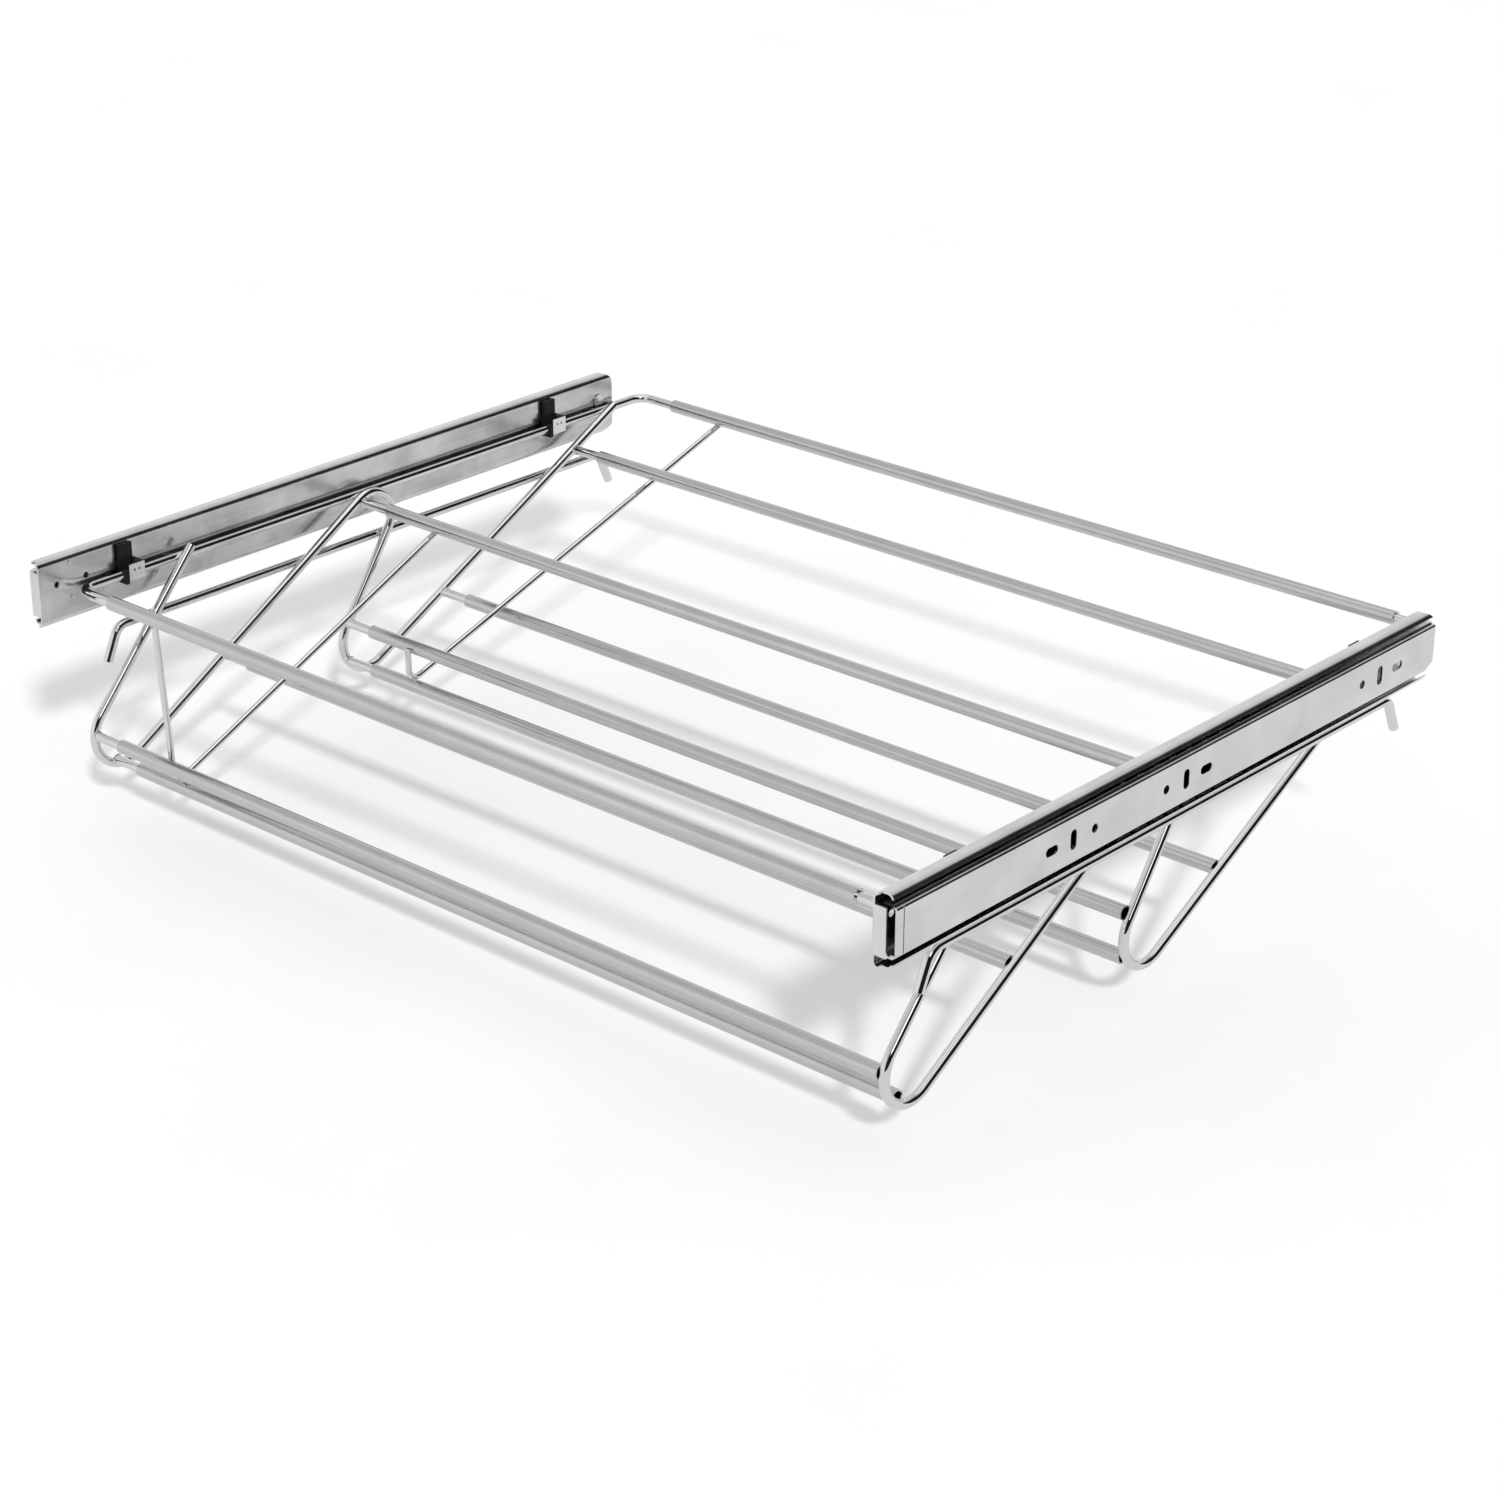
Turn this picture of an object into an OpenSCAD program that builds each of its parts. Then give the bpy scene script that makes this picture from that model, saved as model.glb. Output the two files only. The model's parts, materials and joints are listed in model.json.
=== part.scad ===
// Width-adjustable pull-out shoe rack on two ball-bearing runners.
// X runs from the left cabinet wall to the right one, Y from front to back, Z up.
// The origin is on the left cabinet face, midway between its outer screw holes.

/* [Overall] */
// distance between the two cabinet walls, rack at its narrowest
overall_w = 680; // [640:5:760]
// length of each runner
runner_len = 500; // [450:5:600]
// depth of the shoe tiers below the top rails, centre of wire
tier_drop = 119.5; // [95:0.5:150]

/* [Runners] */
// height of the wide rack-side member
runner_h = 42; // [38:0.5:53]
// thickness of the closed runner, wall face to rack face
runner_t = 12.7; // [12:0.1:16]
// sheet thickness of the wide member
wide_sheet = 1.2; // [0.9:0.1:1.5]
// sheet thickness of the narrow member
narrow_sheet = 1.2; // [0.9:0.1:1.5]
// height of the narrow member's flat wall face
narrow_h = 28; // [22:0.5:29]
// depth of the wide member, web face to lip
wide_depth = 10.8; // [9.8:0.1:11.4]
// diameter of one steel ball
ball_d = 4.4; // [3.6:0.1:4.8]
// gap between a ball and either race
ball_gap = 0.3; // [0.2:0.05:0.5]
// number of balls in one row
ball_count = 8; // [6:1:12]
// spacing of the balls along a row
ball_pitch = 15; // [12:0.5:16]
// sheet thickness of the ball cage
cage_sheet = 0.7; // [0.5:0.1:0.9]
// gap between the lips that hold two neighbouring balls
cage_notch = 3.4; // [2:0.1:5]
// gap between the front tab and the narrow member
front_gap = 2.3; // [1:0.1:5]

/* [Cabinet screws] */
// diameter of the round screw holes
hole_d = 5.2; // [4:0.1:6]
// length of the slots that run along the runner
slot_len = 10.4; // [8:0.2:14]
// length of the slots that run up and down
riser_len = 11.6; // [8:0.2:14]
// front end of runner to the first round hole
hole_first = 166; // [140:1:190]
// first round hole to the second
hole_near_pitch = 64; // [32:32:96]
// second round hole to the third
hole_far_pitch = 192; // [160:32:224]
// pitch of round hole, riser slot and long slot in one group
hole_step = 18.5; // [14:0.5:22]

/* [Side wires] */
// diameter of the side frame wires and the sliding inner rods
wire_d = 6; // [5:0.1:7]
// gap between the top rail and the runner web
rail_gap = 1.5; // [1:0.1:3]
// top rail below the middle of the runner
rail_drop = 1.5; // [0:0.5:4]
// front corner of the top rail behind the front of the runner
rail_inset = 25; // [20:1:40]
// centre line bend radius of the top rail corners
rail_bend = 11; // [9:0.5:20]
// lower rail below the top rail
lower_drop = 31.5; // [29:0.5:45]
// length of a hook leg of the lower rail
hook_len = 23.5; // [18:0.5:34]
// lean of a hook leg away from upright
hook_lean = 24; // [10:1:45]
// centre line radius of the two bottom bends
heel_r = 21.5; // [16:0.5:26]
// centre line radius of the peak between the tiers
peak_r = 18; // [12:0.5:22]
// bite of one weld where two pieces meet
weld = 0.2; // [0.1:0.05:0.4]

/* [Cross bars] */
// wall of the tubes
tube_wall = 1; // [0.7:0.1:1.5]
// gap between an inner rod and the bore of its tube
slide_gap = 0.4; // [0.2:0.05:0.6]
// bare rod between the left top rail and a tube, at the narrowest
bare_len = 32; // [24:1:60]
// most that the width can grow
widen = 280; // [200:10:300]
// inner rod still inside its tube at the widest
grip_len = 60; // [40:5:100]
// top rail to the end of its tube at the right side
mouth_gap = 25; // [20:1:40]
// length of top rail end pressed into its right tube
stub_len = 16; // [10:1:30]

/* [Braces] */
// diameter of the brace wires
brace_d = 4; // [3:0.1:5]
// start of the tubes to the plane of the braces
brace_inset = 40; // [25:1:80]
// centre line bend radius of the braces
brace_bend = 7; // [5:0.5:12]

/* [Rail clips] */
// front of runner to the middle of the front clip
clip_front = 69; // [55:1:110]
// front of runner to the middle of the back clip
clip_back = 440; // [380:1:460]
// length of the plastic block along the rail
block_len = 10; // [6:0.5:16]
// height of the plastic block above the rail centre
block_rise = 19; // [12:0.5:22]
// depth of the plastic block below the rail centre
block_foot = 5.5; // [4.5:0.5:10]
// overlap of the saddle in front of the plastic block
saddle_lap = 7; // [2:0.5:8]
// length of the steel saddle along the rail
saddle_len = 12; // [8:0.5:18]
// sheet thickness of the saddle
saddle_sheet = 1; // [0.6:0.1:1.4]

/* [Hidden] */
$fn = 48;
eps = 0.01;
long_cut = 40;
tiny_hole = 1.6;
fold_in = 5;
fold_deep = 0.35;
clip_wall = 1.3;
clip_bite = 0.05;
clip_seam = 0.5;
block_shoulder = 8;
block_tab = 2.8;
saddle_gap = 2.6;
block_stand = 0.6;
collar = 0.2;
collar_lift = 0.03;
web_hole = 4;
web_hole_z = 4.3;
pip_d = 2.4;

// frame of reference
hole_y = [hole_first, hole_first + hole_near_pitch, hole_first + hole_near_pitch + hole_far_pitch];
y0 = -(hole_y[0] + hole_y[2]) / 2;
riser_y = [hole_y[0] - hole_step, hole_y[1] + hole_step, hole_y[2] + hole_step];
slot_y = [hole_y[0] - 2 * hole_step, hole_y[1] + 2 * hole_step, hole_y[2] + 2 * hole_step];

// runner section, measured outward from the rack face of the web and up from the middle
ball_r = ball_d / 2;
race_r = ball_r + ball_gap;
race_bite = 0.2;
ball_v = runner_h / 2 - wide_sheet - race_r + race_bite;
ball_u = 6.3;
wide_corner = 3.6;
lip_v = runner_h / 2 - 3;
tab_v = narrow_h / 2;
tab_depth = wide_depth - 2.3;
narrow_u = 3.6;
narrow_step_u = 10;
narrow_top_v = ball_v - race_r + race_bite;
narrow_corner = 1.6;
cage_u = 1.9;
cage_depth = 7.4;
cage_len = ball_count * ball_pitch - cage_notch;
cage_y = y0 + runner_len / 2;
rear_chamfer_y = 9;
rear_chamfer_z = 5;
rear_round = 7;

// side frame, in left-hand positions; the right side is its mirror image
wire_r = wire_d / 2;
rail_x = runner_t + rail_gap + wire_r;
zig_x = rail_x + wire_d - weld;
rail_z = -rail_drop;
rail_y0 = y0 + rail_inset;
rail_span = runner_len;
span_k = rail_span / 500;
rail_y1 = rail_y0 + rail_span;
lower_y0 = rail_y0 + 28 * span_k;
lower_y1 = rail_y0 + 456 * span_k;
lower_bend = 9;

// zigzag: start point, three bend circles and end point, in Y and Z
heel_z = rail_z - tier_drop + heel_r;
heel_1 = [rail_y0 + heel_r - 0.5, heel_z];
heel_2 = [heel_1[0] + 206.4 * span_k, heel_z];
peak = [rail_y0 + 235.4 * span_k, rail_z + 1.2 - peak_r];
zig_start = [rail_y0 + 85 * span_k, rail_z + 7];
zig_end = [rail_y0 + 467 * span_k, rail_z + 3.5];

// heading of the straight that leaves circle a for circle b, each turning by its sign
function heading(a, ra, b, rb) = atan2(b[1] - a[1], b[0] - a[0]) - asin((rb - ra) / norm(b - a));
function left_of(h) = [-sin(h), cos(h)];
// where two tangents of a circle cross, r signed positive for a left turn
function crossing(c, r, h0, h1) = c - r * (left_of(h0) + left_of(h1)) / (1 + left_of(h0) * left_of(h1));
function between(a, b, t) = a + (b - a) * t;
function polar(c, r, a) = c + r * [cos(a), sin(a)];

h0 = heading(zig_start, 0, heel_1, heel_r);
h1 = heading(heel_1, heel_r, peak, -peak_r);
h2 = heading(peak, -peak_r, heel_2, heel_r);
h3 = heading(heel_2, heel_r, zig_end, 0);
ramp_1a = heel_1 - heel_r * left_of(h1);
ramp_1b = peak + peak_r * left_of(h1);
lip_2a = peak + peak_r * left_of(h2);
lip_2b = heel_2 - heel_r * left_of(h2);
ramp_2a = heel_2 - heel_r * left_of(h3);

// cross bars: rods of the frame wire slide in the tubes
rod_d = wire_d;
tube_bore = rod_d + 2 * slide_gap;
tube_d = tube_bore + 2 * tube_wall;

// braces lie against the tubes
brace_off = (tube_d + brace_d) / 2 - weld;

// cross bar centres in Y and Z
seat_in = 3;
front_heel_hi = polar(heel_1, heel_r, 171);
front_heel_lo = polar(heel_1, heel_r - seat_in, 245);
front_ramp_hi = polar(peak, peak_r - seat_in, 118);
// where the ramp meets the line of bars that the front brace crosses
front_ramp_lo = meet(front_heel_lo, cross_heading(front_heel_lo, front_ramp_hi), ramp_1a, h1);
rear_heel_hi = between(lip_2a, lip_2b, 0.94) - [seat_in, 0];
rear_heel_lo = polar(heel_2, heel_r, 213);
rear_ramp_lo = between(ramp_2a, zig_end, 0.256);
rear_ramp_hi = between(ramp_2a, zig_end, 0.818);
front_rail = [rail_y0, rail_z];
back_rail = [rail_y1, rail_z];

// cross bar ends along X
tube_x0 = rail_x + bare_len;
rod_x0 = zig_x + wire_r - 1;
rod_x1 = tube_x0 + widen + grip_len;
tube_x1 = overall_w - zig_x - wire_r + 0.5;
rail_tube_x1 = overall_w - rail_x - mouth_gap;
crimp_len = 8;
crimp_bore = rod_d - 0.1;

// plane of the braces
brace_x = tube_x0 + brace_inset;

// ---- shared shapes ----

// mirrors a left-hand piece to the right-hand side
module right_hand() {
    translate([overall_w, 0, 0])
        mirror([1, 0, 0])
            children();
}

// rectangle with rounded corners, built from squares and circles
module soft_rect(x0, x1, z0, z1, r) {
    translate([x0 + r, z0])
        square([x1 - x0 - 2 * r, z1 - z0]);
    translate([x0, z0 + r])
        square([x1 - x0, z1 - z0 - 2 * r]);
    for (x = [x0 + r, x1 - r], z = [z0 + r, z1 - r])
        translate([x, z])
            circle(r = r);
}

// extrudes a section of u (outward from the web) and v (up) along the left runner
module along_runner(ya, yb) {
    translate([runner_t, ya, 0])
        mirror([1, 0, 0])
            translate([0, yb - ya, 0])
                rotate([90, 0, 0])
                    linear_extrude(height = yb - ya)
                        children();
}

// straight run of round wire between two points of the XY plane
module run(a, b, d) {
    translate([a[0], a[1], 0])
        rotate([0, 90, atan2(b[1] - a[1], b[0] - a[0])])
            cylinder(h = norm(b - a), d = d);
}

// bend of round wire at corner b of a path a-b-c
module elbow(a, b, c, r, d) {
    u1 = (b - a) / norm(b - a);
    u2 = (c - b) / norm(c - b);
    turn = acos(u1 * u2);
    side = u1[0] * u2[1] - u1[1] * u2[0] > 0 ? 1 : -1;
    from = b - u1 * r * tan(turn / 2);
    mid = from + side * r * [-u1[1], u1[0]];
    start = atan2(from[1] - mid[1], from[0] - mid[0]);
    translate([mid[0], mid[1], 0])
        rotate([0, 0, side > 0 ? start : start - turn])
            rotate_extrude(angle = turn)
                translate([r, 0])
                    circle(d = d);
}

function unit(v) = v / norm(v);
function turn_at(p, i) = acos(unit(p[i] - p[i - 1]) * unit(p[i + 1] - p[i]));
function set_back(p, r, i) = i == 0 || i == len(p) - 1 ? 0 : r[i] * tan(turn_at(p, i) / 2);

// bent round wire in the XY plane, through points p with a bend radius at each;
// a hairline collar carries each straight into its bend
module wire(p, r, d) {
    last = len(p) - 1;
    for (i = [0:last - 1])
        let (u = (p[i + 1] - p[i]) / norm(p[i + 1] - p[i]),
             a = p[i] + u * set_back(p, r, i),
             b = p[i + 1] - u * set_back(p, r, i + 1)) {
            run(i > 0 ? a + u * collar / 4 : a, i < last - 1 ? b - u * collar / 4 : b, d);
            if (i > 0)
                run(a - u * collar, a + u * collar, d + 2 * collar_lift);
            if (i < last - 1)
                run(b - u * collar, b + u * collar, d + 2 * collar_lift);
        }
    for (i = [1:last - 1])
        elbow(p[i - 1], p[i], p[i + 1], r[i], d);
}

// stands the XY plane up: its X becomes Y, its Y becomes Z, at the given X
module upright(x) {
    translate([x, 0, 0])
        rotate([90, 0, 90])
            children();
}

// ---- runner ----

// cutter for the chamfered lower corner of a member that ends at y, with its lower edge at z
module corner_cut(y, z) {
    translate([-long_cut / 2, y - rear_chamfer_y, z])
        rotate([atan2(rear_chamfer_z, rear_chamfer_y), 0, 0])
            translate([0, -long_cut / 2, -long_cut])
                cube([long_cut, long_cut, long_cut]);
}

module race_cuts() {
    for (v = [-ball_v, ball_v])
        translate([ball_u, v])
            circle(r = race_r);
}

module wide_section() {
    difference() {
        soft_rect(0, wide_depth, -runner_h / 2, runner_h / 2, wide_corner);
        soft_rect(wide_sheet, wide_depth - wide_sheet, wide_sheet - runner_h / 2,
                  runner_h / 2 - wide_sheet, wide_corner - wide_sheet);
        translate([wide_depth / 2, -lip_v])
            square([wide_depth, 2 * lip_v]);
        race_cuts();
    }
}

// small round boss pressed out of the web, y from the front end
module pressed(y, z, d, h) {
    translate([runner_t - wide_sheet / 2, y0 + y, z])
        rotate([0, 90, 0])
            cylinder(h = wide_sheet / 2 + h, d = d);
}

module rack_member() {
    color([0.78, 0.79, 0.80])
        difference() {
            union() {
                along_runner(y0, y0 + runner_len)
                    wide_section();
                // bent tab that closes the front end
                translate([runner_t - tab_depth, y0, -tab_v])
                    cube([tab_depth, wide_sheet, 2 * tab_v]);
                // pressed stop near the back end
                pressed(runner_len - 14, 4, 9, 0.8);
                // pressed pips near the front end
                pressed(23.5, 16, pip_d, 0.6);
                pressed(24, -6.5, pip_d, 0.6);
                pressed(90, -10.3, pip_d, 0.6);
            }
            // reliefs above and below the front tab
            for (z = [tab_v, -runner_h / 2 - eps])
                translate([runner_t - wide_depth - eps, y0 - eps, z])
                    cube([wide_depth - wide_corner, 3, runner_h / 2 - tab_v + eps]);
            for (y = [13, 35.3])
                translate([runner_t - 2 * wide_sheet, y0 + y, web_hole_z])
                    rotate([0, 90, 0])
                        cylinder(h = 3 * wide_sheet, d = web_hole);
            corner_cut(y0 + runner_len, -runner_h / 2);
            // upper back corner rounded off
            translate([-long_cut / 2, y0 + runner_len - rear_round, runner_h / 2 - rear_round])
                difference() {
                    cube([long_cut, long_cut, long_cut]);
                    rotate([0, 90, 0])
                        cylinder(h = long_cut, r = rear_round);
                }
        }
}

module narrow_section() {
    difference() {
        union() {
            soft_rect(narrow_u, runner_t - narrow_sheet, -narrow_top_v, narrow_top_v, narrow_corner);
            soft_rect(narrow_u, runner_t, -narrow_h / 2, narrow_h / 2, narrow_corner);
        }
        // shoulder that leaves room for the lips
        for (s = [-1, 1])
            translate([narrow_step_u, s > 0 ? narrow_h / 2 : -runner_h / 2])
                square([runner_t, (runner_h - narrow_h) / 2]);
        translate([-eps, narrow_sheet - narrow_top_v])
            square([narrow_step_u - narrow_sheet + eps, 2 * (narrow_top_v - narrow_sheet)]);
        translate([-eps, narrow_sheet - narrow_h / 2])
            square([runner_t - narrow_sheet + eps, narrow_h - 2 * narrow_sheet]);
        race_cuts();
    }
}

// slot through the wall face, long in Y or in Z
module slot_cut(y, along, up) {
    translate([-eps, y, 0])
        rotate([90, 0, 90])
            linear_extrude(height = narrow_sheet + 1) {
                square([max(along - hole_d, eps), hole_d], center = true);
                square([hole_d, max(up - hole_d, eps)], center = true);
                for (s = [-1, 1])
                    translate([s * (along - hole_d) / 2, s * (up - hole_d) / 2])
                        circle(d = hole_d);
            }
}

module cabinet_member() {
    color([0.80, 0.81, 0.82])
        difference() {
            along_runner(y0 + wide_sheet + front_gap, y0 + runner_len - 1)
                narrow_section();
            for (y = hole_y)
                translate([-eps, y0 + y, 0])
                    rotate([0, 90, 0])
                        cylinder(h = narrow_sheet + 1, d = hole_d);
            for (y = slot_y)
                slot_cut(y0 + y, slot_len, hole_d);
            for (y = riser_y)
                slot_cut(y0 + y, hole_d, riser_len);
            // fold line near the front end
            translate([-eps, y0 + wide_sheet + front_gap + fold_in, -narrow_h / 2 - 1])
                cube([fold_deep + eps, fold_deep * 2, narrow_h + 2]);
            corner_cut(y0 + runner_len - 1, -narrow_h / 2);
        }
}

function ball_y(i) = cage_y + (i - (ball_count - 1) / 2) * ball_pitch;

module ball_cage() {
    inner_v = ball_v - cage_sheet / 2;
    color([0.62, 0.63, 0.64])
        difference() {
            along_runner(cage_y - cage_len / 2, cage_y + cage_len / 2) {
                translate([cage_u, -ball_v - cage_sheet / 2])
                    square([cage_sheet, 2 * ball_v + cage_sheet]);
                for (v = [-ball_v - cage_sheet / 2, inner_v])
                    translate([cage_u, v])
                        square([cage_depth, cage_sheet]);
            }
            for (i = [0:ball_count - 1], s = [-1, 1])
                translate([runner_t - ball_u, ball_y(i), s * ball_v - 1])
                    cylinder(h = 2, r = ball_r - 0.05);
            // notches that part the lips between one ball and the next
            for (i = [1:ball_count - 1], s = [-1, 1])
                translate([runner_t - cage_u - cage_depth - 1,
                           cage_y + (i - ball_count / 2) * ball_pitch - cage_notch / 2, s * ball_v - 1])
                    cube([cage_depth - 2 * cage_sheet, cage_notch, 2]);
        }
}

module balls() {
    color([0.85, 0.85, 0.86])
        for (i = [0:ball_count - 1], s = [-1, 1])
            translate([runner_t - ball_u, ball_y(i), s * ball_v])
                sphere(r = ball_r);
}

// ---- rail clips ----

module clip_block(y) {
    back_x = runner_t + block_stand;
    jaw = wire_r + clip_wall;
    color([0.06, 0.06, 0.07])
        difference() {
            union() {
                translate([runner_t, y - block_len, rail_z - block_foot])
                    cube([rail_x - runner_t, block_len, block_foot + block_shoulder]);
                // jaw that reaches round the front of the rail
                translate([rail_x - eps, y - block_len, rail_z - block_foot])
                    cube([jaw, block_len - saddle_lap - clip_seam, block_foot + jaw]);
                // upright tab behind the saddle
                translate([back_x, y - block_len, rail_z])
                    cube([block_tab, block_len, block_rise]);
            }
            translate([rail_x, y - block_len - eps, rail_z])
                rotate([-90, 0, 0])
                    cylinder(h = block_len + 2 * eps, d = wire_d - 2 * clip_bite);
        }
}

module clip_saddle(y) {
    face_x = rail_x + wire_r - clip_bite;
    top_z = rail_z + wire_r + saddle_gap;
    reach = face_x + saddle_sheet - runner_t;
    color([0.86, 0.86, 0.87])
        difference() {
            union() {
                // flange back to the web, clear of the block
                translate([runner_t, y + clip_seam, top_z])
                    cube([reach, saddle_len - saddle_lap - clip_seam, saddle_sheet]);
                translate([face_x, y - saddle_lap, 0]) {
                    // plate over the rail
                    translate([0, 0, rail_z - wire_r - saddle_sheet])
                        cube([saddle_sheet, saddle_len, top_z - rail_z + wire_r + 2 * saddle_sheet]);
                    // lip under the rail
                    translate([saddle_sheet - wire_r, 0, rail_z - wire_r - saddle_sheet])
                        cube([wire_r, saddle_len, saddle_sheet]);
                }
            }
            for (k = [0.35, 0.65])
                translate([face_x - 1, y + saddle_len * k - saddle_lap, rail_z + saddle_gap])
                    rotate([0, 90, 0])
                        cylinder(h = 1 + 2 * saddle_sheet, d = tiny_hole);
        }
}

// ---- side wires ----

module top_rail(reach) {
    path = [[reach, rail_y0], [rail_x, rail_y0], [rail_x, rail_y1], [reach, rail_y1]];
    color([0.90, 0.90, 0.91])
        translate([0, 0, rail_z])
            wire(path, [0, rail_bend, rail_bend, 0], wire_d);
}

module lower_rail() {
    z = rail_z - lower_drop;
    drop = [hook_len * sin(hook_lean), -hook_len * cos(hook_lean)];
    path = [[lower_y0 - drop[0], z + drop[1]], [lower_y0, z], [lower_y1, z],
            [lower_y1 + drop[0], z + drop[1]]];
    color([0.90, 0.90, 0.91])
        upright(rail_x)
            wire(path, [0, lower_bend, lower_bend, 0], wire_d);
}

module zigzag() {
    path = [zig_start, crossing(heel_1, heel_r, h0, h1), crossing(peak, -peak_r, h1, h2),
            crossing(heel_2, heel_r, h2, h3), zig_end];
    color([0.90, 0.90, 0.91])
        upright(zig_x)
            wire(path, [0, heel_r, peak_r, heel_r, 0], wire_d);
}

// ---- cross bars ----

module inner_rod(c) {
    color([0.90, 0.90, 0.91])
        translate([rod_x0, c[0], c[1]])
            rotate([0, 90, 0])
                cylinder(h = rod_x1 - rod_x0, d = rod_d);
}

module open_tube(c) {
    color([0.70, 0.70, 0.71])
        translate([tube_x0, c[0], c[1]])
            rotate([0, 90, 0])
                difference() {
                    cylinder(h = tube_x1 - tube_x0, d = tube_d);
                    translate([0, 0, -eps])
                        cylinder(h = tube_x1 - tube_x0 + 2 * eps, d = tube_bore);
                }
}

// tube whose right end is pressed onto the stub of the right top rail
module rail_tube(c) {
    full = rail_tube_x1 - tube_x0;
    color([0.70, 0.70, 0.71])
        translate([tube_x0, c[0], c[1]])
            rotate([0, 90, 0])
                difference() {
                    cylinder(h = full, d = tube_d);
                    translate([0, 0, -eps])
                        cylinder(h = full - crimp_len + eps, d = tube_bore);
                    translate([0, 0, full - crimp_len - eps])
                        cylinder(h = crimp_len + 2 * eps, d = crimp_bore);
                }
}

// ---- braces ----

// straight that passes over centre a and under centre b, both at the brace offset
function cross_heading(a, b) = heading(a, -brace_off, b, brace_off);
function over_point(a, h) = a + brace_off * left_of(h);
function under_point(b, h) = b - brace_off * left_of(h);
// where line p along heading g meets line q along heading h
function meet(p, g, q, h) =
    let (w = q - p, k = cos(g) * sin(h) - sin(g) * cos(h))
    p + (w[0] * sin(h) - w[1] * cos(h)) / k * [cos(g), sin(g)];

module brace(low, high, leg_foot, leg_top) {
    h = cross_heading(low, high);
    p = over_point(low, h);
    g = atan2(leg_top[1] - leg_foot[1], leg_top[0] - leg_foot[0]);
    end = under_point(high, h) + [cos(h), sin(h)];
    color([0.88, 0.88, 0.89])
        upright(brace_x)
            wire([end, meet(p, h, leg_foot, g), leg_top], [0, brace_bend, 0], brace_d);
}

module brace_front() {
    brace(front_heel_lo, front_ramp_hi, front_heel_hi + [brace_off, 0],
          front_rail - [0, tube_d / 2 - weld]);
}

module brace_rear() {
    lean = atan2(rear_heel_hi[1] - rear_heel_lo[1], rear_heel_hi[0] - rear_heel_lo[0]);
    side = brace_off * left_of(lean);
    brace(rear_heel_lo, back_rail, rear_heel_lo + side, rear_heel_hi + side + [0, 1]);
}

cabinet_member();  // cabinet_member_l
right_hand() cabinet_member();  // cabinet_member_r
rack_member();  // rack_member_l
right_hand() rack_member();  // rack_member_r
ball_cage();  // ball_cage_l
right_hand() ball_cage();  // ball_cage_r
balls();  // balls_l
right_hand() balls();  // balls_r
clip_block(y0 + clip_front);  // clip_block_front_l
clip_block(y0 + clip_back);  // clip_block_back_l
right_hand() clip_block(y0 + clip_front);  // clip_block_front_r
right_hand() clip_block(y0 + clip_back);  // clip_block_back_r
clip_saddle(y0 + clip_front);  // clip_saddle_front_l
clip_saddle(y0 + clip_back);  // clip_saddle_back_l
right_hand() clip_saddle(y0 + clip_front);  // clip_saddle_front_r
right_hand() clip_saddle(y0 + clip_back);  // clip_saddle_back_r
top_rail(rod_x1);  // top_rail_l
right_hand() top_rail(rail_x + mouth_gap + stub_len);  // top_rail_r
lower_rail();  // lower_rail_l
right_hand() lower_rail();  // lower_rail_r
zigzag();  // zigzag_l
right_hand() zigzag();  // zigzag_r
inner_rod(front_heel_hi);  // rod_front_heel_hi
inner_rod(front_heel_lo);  // rod_front_heel_lo
inner_rod(front_ramp_lo);  // rod_front_ramp_lo
inner_rod(front_ramp_hi);  // rod_front_ramp_hi
inner_rod(rear_heel_hi);  // rod_rear_heel_hi
inner_rod(rear_heel_lo);  // rod_rear_heel_lo
inner_rod(rear_ramp_lo);  // rod_rear_ramp_lo
inner_rod(rear_ramp_hi);  // rod_rear_ramp_hi
rail_tube(front_rail);  // tube_front_rail
rail_tube(back_rail);  // tube_back_rail
open_tube(front_heel_hi);  // tube_front_heel_hi
open_tube(front_heel_lo);  // tube_front_heel_lo
open_tube(front_ramp_lo);  // tube_front_ramp_lo
open_tube(front_ramp_hi);  // tube_front_ramp_hi
open_tube(rear_heel_hi);  // tube_rear_heel_hi
open_tube(rear_heel_lo);  // tube_rear_heel_lo
open_tube(rear_ramp_lo);  // tube_rear_ramp_lo
open_tube(rear_ramp_hi);  // tube_rear_ramp_hi
brace_front();
brace_rear();
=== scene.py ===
"""Looks for the width-adjustable pull-out shoe rack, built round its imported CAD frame."""

import json
import math

import bmesh
import bpy
from mathutils import Matrix, Vector, noise


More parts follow.
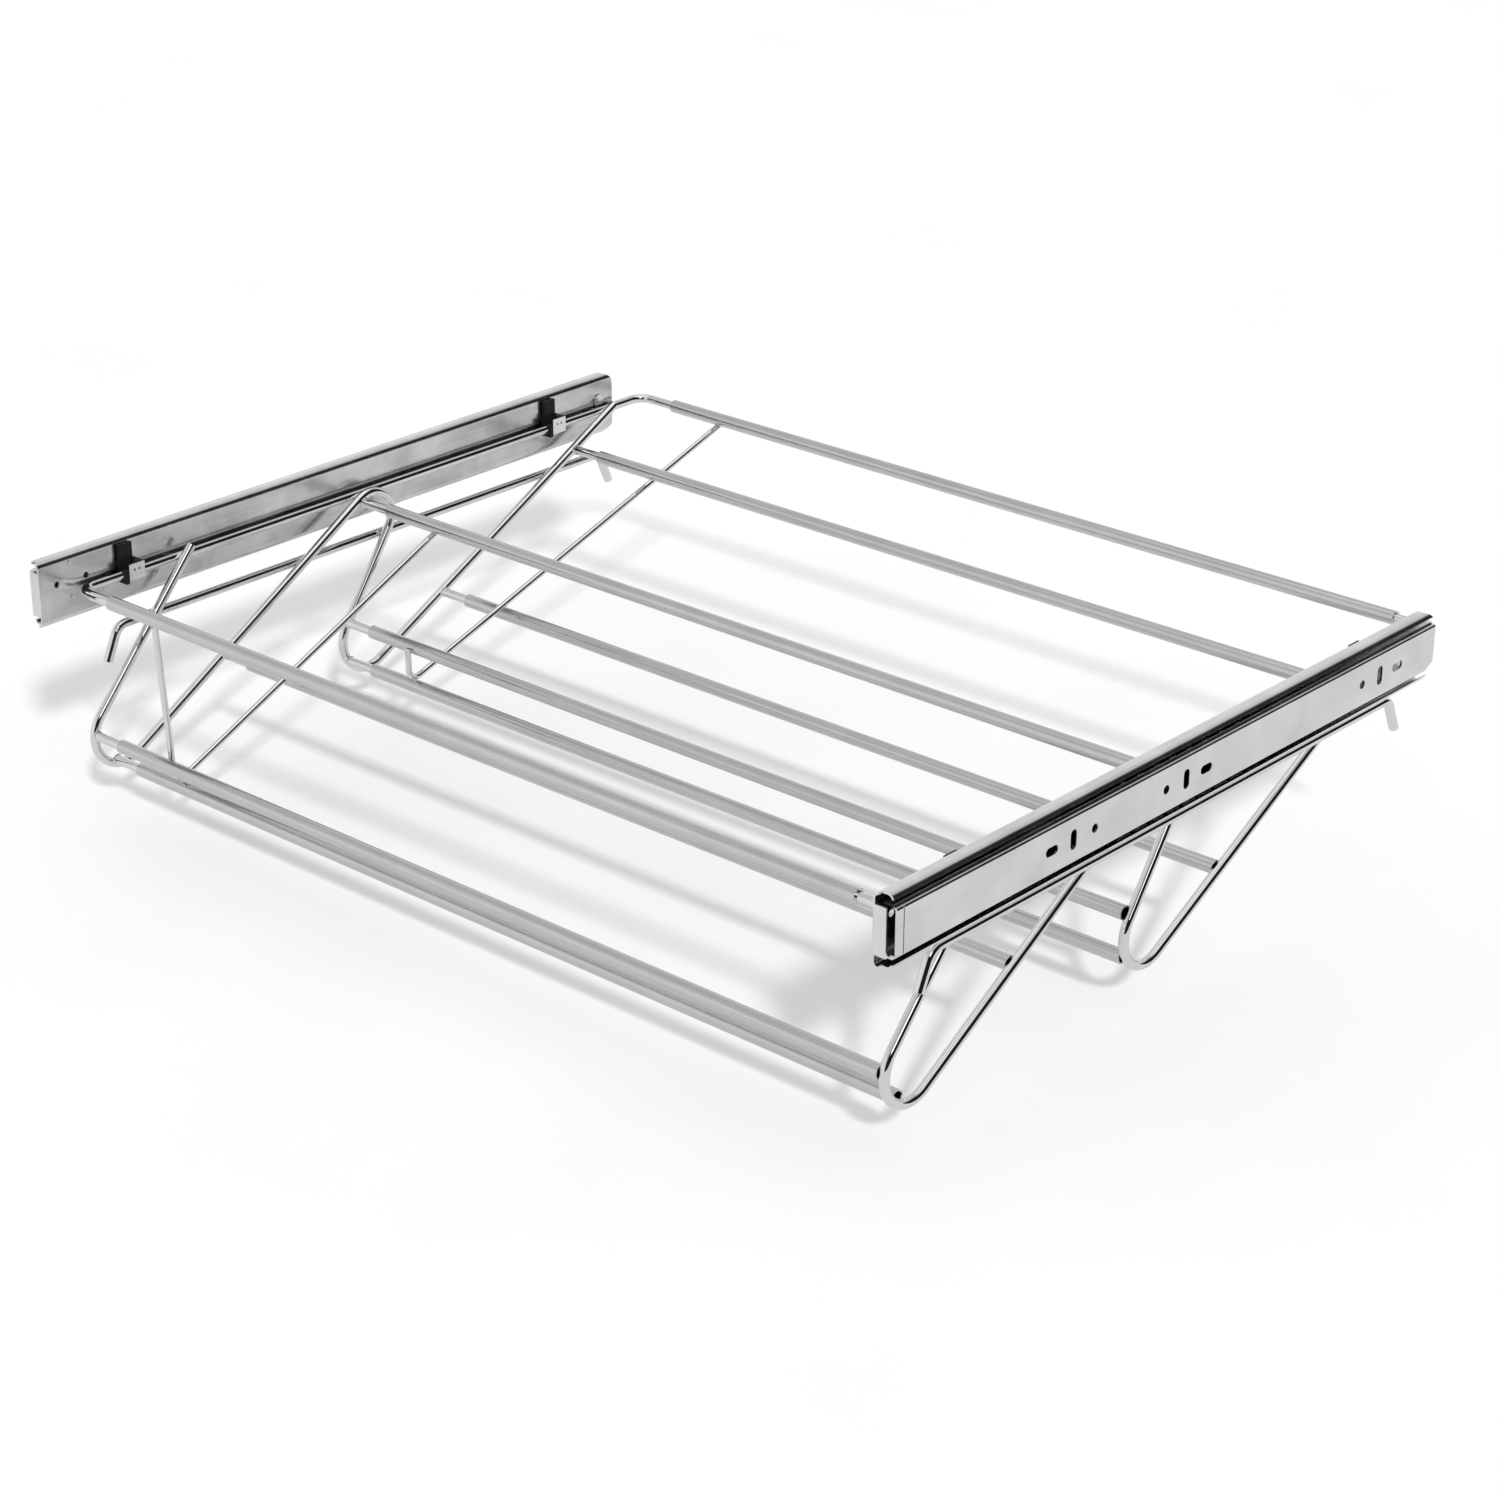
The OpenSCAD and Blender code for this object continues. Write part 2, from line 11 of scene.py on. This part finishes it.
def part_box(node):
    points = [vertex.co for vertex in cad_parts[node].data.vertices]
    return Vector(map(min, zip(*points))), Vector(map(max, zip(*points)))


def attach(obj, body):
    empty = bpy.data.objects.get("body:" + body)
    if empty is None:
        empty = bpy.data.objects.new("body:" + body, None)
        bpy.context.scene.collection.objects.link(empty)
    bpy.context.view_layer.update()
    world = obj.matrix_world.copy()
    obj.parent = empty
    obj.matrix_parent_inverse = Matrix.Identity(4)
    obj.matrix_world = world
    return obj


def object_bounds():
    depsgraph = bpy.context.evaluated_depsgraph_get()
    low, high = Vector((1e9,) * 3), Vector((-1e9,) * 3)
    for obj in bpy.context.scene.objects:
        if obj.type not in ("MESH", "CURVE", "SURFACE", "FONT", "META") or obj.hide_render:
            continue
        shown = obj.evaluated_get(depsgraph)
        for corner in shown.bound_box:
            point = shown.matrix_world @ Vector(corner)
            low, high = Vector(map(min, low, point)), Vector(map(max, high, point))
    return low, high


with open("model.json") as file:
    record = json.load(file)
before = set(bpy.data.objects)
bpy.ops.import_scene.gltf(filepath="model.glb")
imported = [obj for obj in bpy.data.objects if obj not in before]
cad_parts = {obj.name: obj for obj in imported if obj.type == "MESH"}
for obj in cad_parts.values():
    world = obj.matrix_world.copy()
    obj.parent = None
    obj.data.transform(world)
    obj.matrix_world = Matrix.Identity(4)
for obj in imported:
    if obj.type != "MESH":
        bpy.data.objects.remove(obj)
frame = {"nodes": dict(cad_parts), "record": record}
cad_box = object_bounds()
NODES = frame["nodes"]


def towards(azimuth, elevation):
    """Unit vector out of the rack at these angles in degrees; azimuth 0 is the front, 90 the right."""
    az, el = math.radians(azimuth), math.radians(elevation)
    return Vector((math.sin(az) * math.cos(el), -math.cos(az) * math.cos(el), math.sin(el)))


# ---- camera, fitted to the photograph ----

EYE = Vector((1.6366, -1.4796, 0.7859))
EYE_AZ, EYE_EL, EYE_ROLL = 41.533, 24.263, 0.222
LENS, SENSOR = 83.904, 36
CLIP_START, CLIP_END = 0.05, 60


def make_camera():
    az, roll = math.radians(EYE_AZ), math.radians(EYE_ROLL)
    back = towards(EYE_AZ, EYE_EL)
    side = Vector((math.cos(az), math.sin(az), 0))
    up = back.cross(side)
    side, up = (side * math.cos(roll) + up * math.sin(roll),
                up * math.cos(roll) - side * math.sin(roll))
    data = bpy.data.cameras.new("camera")
    data.lens = LENS
    data.sensor_width = SENSOR
    data.clip_start = CLIP_START
    data.clip_end = CLIP_END
    cam = bpy.data.objects.new("camera", data)
    bpy.context.scene.collection.objects.link(cam)
    cam.matrix_world = Matrix((
        (side.x, up.x, back.x, EYE.x),
        (side.y, up.y, back.y, EYE.y),
        (side.z, up.z, back.z, EYE.z),
        (0, 0, 0, 1)))
    bpy.context.scene.camera = cam


make_camera()


# ---- node helpers; sockets go in and come out ----

def new_material(name):
    m = bpy.data.materials.new(name)
    m.use_nodes = True
    tree = m.node_tree
    bsdf = next(n for n in tree.nodes if n.type == "BSDF_PRINCIPLED")
    return m, tree, bsdf


def feed(tree, value, target):
    """Link a socket to an input, or give the input a plain value."""
    if isinstance(value, bpy.types.NodeSocket):
        tree.links.new(value, target)
    else:
        target.default_value = value


def make_node(tree, kind, inputs=None, **settings):
    n = tree.nodes.new(kind)
    for key, value in settings.items():
        setattr(n, key, value)
    for key, value in (inputs or {}).items():
        feed(tree, value, n.inputs[key])
    return n


def coordinates(tree, kind):
    return make_node(tree, "ShaderNodeTexCoord").outputs[kind]


def noise_at(tree, vector, scale, detail, roughness=0.5):
    inputs = {"Vector": vector, "Scale": scale, "Detail": detail, "Roughness": roughness}
    return make_node(tree, "ShaderNodeTexNoise", inputs).outputs["Fac"]


def ramp(tree, value, low, high):
    """A two-stop colour ramp; each stop is a position and a colour or a grey level."""
    n = make_node(tree, "ShaderNodeValToRGB", {"Fac": value})
    for element, (position, colour) in zip(n.color_ramp.elements, (low, high)):
        element.position = position
        element.color = (colour, colour, colour, 1) if isinstance(colour, float) else (*colour, 1)
    return n.outputs["Color"]


def map_range(tree, value, start, end, low, high, kind="LINEAR"):
    inputs = {"Value": value, "From Min": start, "From Max": end, "To Min": low, "To Max": high}
    return make_node(tree, "ShaderNodeMapRange", inputs, interpolation_type=kind).outputs["Result"]


def calculate(tree, operation, first, second):
    return make_node(tree, "ShaderNodeMath", {0: first, 1: second}, operation=operation).outputs[0]


def mix_values(tree, factor, first, second):
    n = make_node(tree, "ShaderNodeMix", data_type="FLOAT")
    for slot, value in ((0, factor), (2, first), (3, second)):
        feed(tree, value, n.inputs[slot])
    return n.outputs[0]


def mix_colours(tree, mode, factor, first, second):
    n = make_node(tree, "ShaderNodeMix", data_type="RGBA", blend_type=mode)
    for slot, value in ((0, factor), (6, first), (7, second)):
        feed(tree, value, n.inputs[slot])
    return n.outputs[2]


def bump_from(tree, height, strength, distance):
    inputs = {"Height": height, "Strength": strength, "Distance": distance}
    return make_node(tree, "ShaderNodeBump", inputs).outputs["Normal"]


# ---- materials ----

COLOUR_FROM, COLOUR_TO = 0.32, 0.66
EDGE_FROM, EDGE_TO, EDGE_LIFT = 0.49, 0.56, 1.15
# painted shade in narrow gaps: occlusion from this level to that, and the colour level where fully
# occluded
PAINTED_SHADE_FROM, PAINTED_SHADE_TO, PAINTED_SHADE_LEVEL = 0.30, 0.62, 0.02
METAL_BUMP_DEPTH, PLASTIC_BUMP_DEPTH = 0.0004, 0.0003
GRAIN_SCALE, SCUFF_SCALE = 900.0, 60.0
SCUFF_FROM, SCUFF_TO = 0.35, 0.72
PLASTIC_SHINE = 0.25


def metal(name, dark, light, rough, streak, streak_scale, blotch_scale, bump, wear=0.0, painted_shade_reach=0.0):
    """Plated steel: streaks along the drawn direction, soft blotches, fine roughness and bump."""
    m, tree, bsdf = new_material(name)
    here = coordinates(tree, "Object")
    drawn = make_node(tree, "ShaderNodeMapping", {"Vector": here, "Scale": streak_scale})
    streaks = noise_at(tree, drawn.outputs["Vector"], scale=1.0, detail=5.0, roughness=0.6)
    blotches = noise_at(tree, here, blotch_scale, detail=4.0, roughness=0.55)
    pattern = mix_values(tree, streak, blotches, streaks)
    tint = ramp(tree, pattern, (COLOUR_FROM, dark), (COLOUR_TO, light))
    if wear > 0:
        # edges rubbed a little brighter
        edge = make_node(tree, "ShaderNodeNewGeometry").outputs["Pointiness"]
        edge = ramp(tree, edge, (EDGE_FROM, 0.0), (EDGE_TO, wear))
        rubbed = (*(min(1, EDGE_LIFT * c) for c in light), 1)
        tint = mix_colours(tree, "MIX", edge, tint, rubbed)
    if painted_shade_reach > 0:
        # painted shade: the colour is darkened by ambient occlusion in the narrow gaps and close to
        # near surfaces, where hardly any light falls
        painted_gap_shade = make_node(tree, "ShaderNodeAmbientOcclusion", {"Distance": painted_shade_reach}, samples=8)
        painted_gap_shade = ramp(tree, painted_gap_shade.outputs["AO"], (PAINTED_SHADE_FROM, PAINTED_SHADE_LEVEL), (PAINTED_SHADE_TO, 1.0))
        tint = mix_colours(tree, "MULTIPLY", 1.0, tint, painted_gap_shade)
    bsdf.inputs["Metallic"].default_value = 1.0
    feed(tree, tint, bsdf.inputs["Base Color"])
    feed(tree, map_range(tree, pattern, 0.0, 1.0, *rough), bsdf.inputs["Roughness"])
    feed(tree, bump_from(tree, pattern, bump, METAL_BUMP_DEPTH), bsdf.inputs["Normal"])
    return m


def plastic(name, dark, light, rough, bump):
    """Moulded plastic: fine grain, and scuffs that are lighter and rougher."""
    m, tree, bsdf = new_material(name)
    here = coordinates(tree, "Object")
    grain = noise_at(tree, here, GRAIN_SCALE, detail=3.0, roughness=0.6)
    scuff = noise_at(tree, here, SCUFF_SCALE, detail=4.0, roughness=0.7)
    tint = ramp(tree, scuff, (SCUFF_FROM, dark), (SCUFF_TO, light))
    feed(tree, tint, bsdf.inputs["Base Color"])
    feed(tree, map_range(tree, scuff, 0.0, 1.0, *rough), bsdf.inputs["Roughness"])
    bsdf.inputs["Specular IOR Level"].default_value = PLASTIC_SHINE
    feed(tree, bump_from(tree, grain, bump, PLASTIC_BUMP_DEPTH), bsdf.inputs["Normal"])
    return m


MATERIALS = {
    "wire_chrome": metal(
        "mirror_chrome", (0.80, 0.80, 0.81), (0.90, 0.90, 0.91), rough=(0.02, 0.07),
        streak=0.35, streak_scale=(300, 300, 300), blotch_scale=45.0, bump=0.02),
    "tube_satin": metal(
        "satin_chrome", (0.62, 0.62, 0.63), (0.74, 0.74, 0.75), rough=(0.14, 0.22),
        streak=0.6, streak_scale=(14, 900, 900), blotch_scale=30.0, bump=0.04),
    "runner_plate": metal(
        "bright_zinc", (0.50, 0.50, 0.51), (0.86, 0.86, 0.87), rough=(0.14, 0.30),
        streak=0.25, streak_scale=(500, 16, 500), blotch_scale=34.0, bump=0.06,
        # the last figure is how far the painted shade in gaps reaches, 6 mm
        wear=0.5, painted_shade_reach=0.006),
    "cage_steel": metal(
        "rolled_steel", (0.60, 0.60, 0.61), (0.78, 0.78, 0.79), rough=(0.25, 0.4),
        streak=0.5, streak_scale=(400, 20, 400), blotch_scale=60.0, bump=0.1),
    "ball_steel": metal(
        "polished_steel", (0.80, 0.80, 0.81), (0.88, 0.88, 0.89), rough=(0.05, 0.1),
        streak=0.3, streak_scale=(300, 300, 300), blotch_scale=80.0, bump=0.02),
    "clip_steel": metal(
        "clip_zinc", (0.74, 0.74, 0.75), (0.90, 0.90, 0.90), rough=(0.18, 0.32),
        streak=0.4, streak_scale=(300, 40, 300), blotch_scale=90.0, bump=0.12, wear=0.4),
    "clip_plastic": plastic(
        "black_moulding", (0.003, 0.003, 0.0035), (0.010, 0.010, 0.011), rough=(0.42, 0.6),
        bump=0.2),
}
for part in frame["record"]["subparts"]:
    o = NODES[part["node"]]
    o.data.materials.clear()
    o.data.materials.append(MATERIALS[part["material_slot"]])


# ---- welds ----

RING_STEPS, BEAD_STEPS = 30, 10
BEAD_R = 0.0006
LUMP_DEPTH, LUMP_SCALE, LUMP_SHIFT = 0.35, 1.6, 3.7


def add_ring(bm, centre, radius, seed):
    """One run of weld round a rod, lumpy the way a resistance weld flashes out."""
    loops = []
    for i in range(RING_STEPS):
        a = math.tau * i / RING_STEPS
        out = Vector((0, math.cos(a), math.sin(a)))
        lump = 1 + LUMP_DEPTH * noise.noise(out * LUMP_SCALE + Vector((seed, 0, 0)))
        swell = BEAD_R * lump
        ring = []
        for j in range(BEAD_STEPS):
            b = math.tau * j / BEAD_STEPS
            along = Vector((swell * math.sin(b), 0, 0))
            ring.append(bm.verts.new(centre + out * (radius + swell * math.cos(b)) + along))
        loops.append(ring)
    for i in range(RING_STEPS):
        here, there = loops[i], loops[(i + 1) % RING_STEPS]
        for j in range(BEAD_STEPS):
            k = (j + 1) % BEAD_STEPS
            bm.faces.new((here[j], there[j], there[k], here[k]))


def make_welds():
    """The rings where each inner rod butts against the left zigzag wire."""
    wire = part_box("zigzag_l")
    rods = sorted(n for n in NODES if n.startswith("rod_"))
    bm = bmesh.new()
    for i, name in enumerate(rods):
        lo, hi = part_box(name)
        centre = Vector((wire[1][0], (lo[1] + hi[1]) / 2, (lo[2] + hi[2]) / 2))
        add_ring(bm, centre, (hi[2] - lo[2]) / 2, LUMP_SHIFT * i)
    bmesh.ops.recalc_face_normals(bm, faces=bm.faces)
    me = bpy.data.meshes.new("rod_welds")
    bm.to_mesh(me)
    bm.free()
    for f in me.polygons:
        f.use_smooth = True
    o = bpy.data.objects.new("rod_welds", me)
    bpy.context.scene.collection.objects.link(o)
    me.materials.append(MATERIALS["wire_chrome"])
    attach(o, "left_half")


make_welds()


# ---- floor ----

FLOOR_DROP = 0.03
FLOOR_RIGHT, FLOOR_FRONT, FLOOR_FAR = 0.45, 0.55, 2.5
FLOOR_CELLS = 24
FLOOR_DARK, FLOOR_LIGHT = (0.90, 0.90, 0.90), (0.93, 0.93, 0.93)
# grey the floor is painted in reflections only, a painted shade on its mirror image in the metal
FLOOR_SHADED_IN_REFLECTIONS = (0.66, 0.66, 0.66, 1)
FLOOR_ROUGHNESS, FLOOR_SHINE = 0.9, 0.1


def make_floor():
    """A plain sheet under the rack; it ends sooner on the sides that the wires mirror as dark."""
    x0, x1 = cad_box[0][0] - FLOOR_FAR, cad_box[1][0] + FLOOR_RIGHT
    y0, y1 = cad_box[0][1] - FLOOR_FRONT, cad_box[1][1] + FLOOR_FAR
    z = cad_box[0][2] - FLOOR_DROP
    n = FLOOR_CELLS
    verts = [(x0 + (x1 - x0) * i / n, y0 + (y1 - y0) * j / n, z)
             for j in range(n + 1) for i in range(n + 1)]
    faces = []
    for j in range(n):
        for i in range(n):
            near, far = j * (n + 1) + i, (j + 1) * (n + 1) + i
            faces.append((near, near + 1, far + 1, far))
    me = bpy.data.meshes.new("floor")
    me.from_pydata(verts, [], faces)
    o = bpy.data.objects.new("floor", me)
    bpy.context.scene.collection.objects.link(o)
    m, tree, bsdf = new_material("pale_floor")
    grain = noise_at(tree, coordinates(tree, "Object"), scale=5.0, detail=4.0)
    tint = ramp(tree, grain, (0.3, FLOOR_DARK), (0.7, FLOOR_LIGHT))
    # painted shade in reflections: glossy rays see the floor a darker grey than the camera does, so
    # its mirror image in the metal is darker
    reflection_shade_mask = make_node(tree, "ShaderNodeLightPath").outputs["Is Glossy Ray"]
    tint = mix_colours(tree, "MIX", reflection_shade_mask, tint, FLOOR_SHADED_IN_REFLECTIONS)
    feed(tree, tint, bsdf.inputs["Base Color"])
    bsdf.inputs["Roughness"].default_value = FLOOR_ROUGHNESS
    bsdf.inputs["Specular IOR Level"].default_value = FLOOR_SHINE
    me.materials.append(m)


make_floor()


# ---- light ----

TO_KEY = towards(55, 37)
KEY_POWER, KEY_ANGLE = 1.75, 5
KEY_BOX_OUTER, KEY_BOX_INNER, KEY_BOX_LEVEL = 15, 10, 1.6
DARK_ROOM_FROM, DARK_ROOM_TO = 0.15, 0.42
# each: from this height to that one, as a sine, and the level below and above
CEILING = 0.80, 0.90, 0.0, 0.9
DARK_SIDE = 0.62, 0.82, 0.012, 0.25
PALE_SIDE = 0.2, 0.8, 0.80, 0.55
CEILING_ON_WALLS = 0.4
FLOOR_FILL, BACKDROP = 0.78, 1.0


def make_key():
    """A small, even key light from the front right; its shadows fall to the back left."""
    d = bpy.data.lights.new("key", "SUN")
    d.energy = KEY_POWER
    d.angle = math.radians(KEY_ANGLE)
    o = bpy.data.objects.new("key", d)
    bpy.context.scene.collection.objects.link(o)
    # its mirror image is the soft box in the world, which has no hard sparkle
    o.visible_glossy = False
    o.rotation_euler = (-TO_KEY).to_track_quat("-Z", "Y").to_euler()


def make_world():
    w = bpy.data.worlds.new("studio")
    bpy.context.scene.world = w
    w.use_nodes = True
    tree = w.node_tree
    background = next(n for n in tree.nodes if n.type == "BACKGROUND")
    heading = coordinates(tree, "Generated")
    split = make_node(tree, "ShaderNodeSeparateXYZ", {"Vector": heading})
    right, height = split.outputs["X"], split.outputs["Z"]

    def smooth(value, start, end, low, high):
        return map_range(tree, value, start, end, low, high, kind="SMOOTHSTEP")

    # pale walls all round but to the right, where the room is dark below its bright ceiling
    walls = smooth(right, DARK_ROOM_FROM, DARK_ROOM_TO, 1.0, 0.0)
    ceiling = smooth(height, *CEILING)
    dark_side = calculate(tree, "ADD", smooth(height, *DARK_SIDE), ceiling)
    glow = calculate(tree, "MULTIPLY", ceiling, CEILING_ON_WALLS)
    pale_side = calculate(tree, "ADD", smooth(height, *PALE_SIDE), glow)
    room = mix_values(tree, walls, dark_side, pale_side)
    # soft box round the key light, for the mirror images of it
    near = make_node(
        tree, "ShaderNodeVectorMath", {0: heading, 1: TO_KEY}, operation="DOT_PRODUCT")
    rim, core = (math.cos(math.radians(a)) for a in (KEY_BOX_OUTER, KEY_BOX_INNER))
    level = calculate(
        tree, "ADD", room, smooth(near.outputs["Value"], rim, core, 0.0, KEY_BOX_LEVEL))
    # even fill for the floor; the backdrop itself is plain white
    rays = make_node(tree, "ShaderNodeLightPath")
    for ray, value in (("Is Diffuse Ray", FLOOR_FILL), ("Is Camera Ray", BACKDROP)):
        level = mix_values(tree, rays.outputs[ray], level, value)
    feed(tree, level, background.inputs["Color"])
    background.inputs["Strength"].default_value = 1.0


make_key()
make_world()
bpy.context.scene.view_settings.view_transform = "Standard"
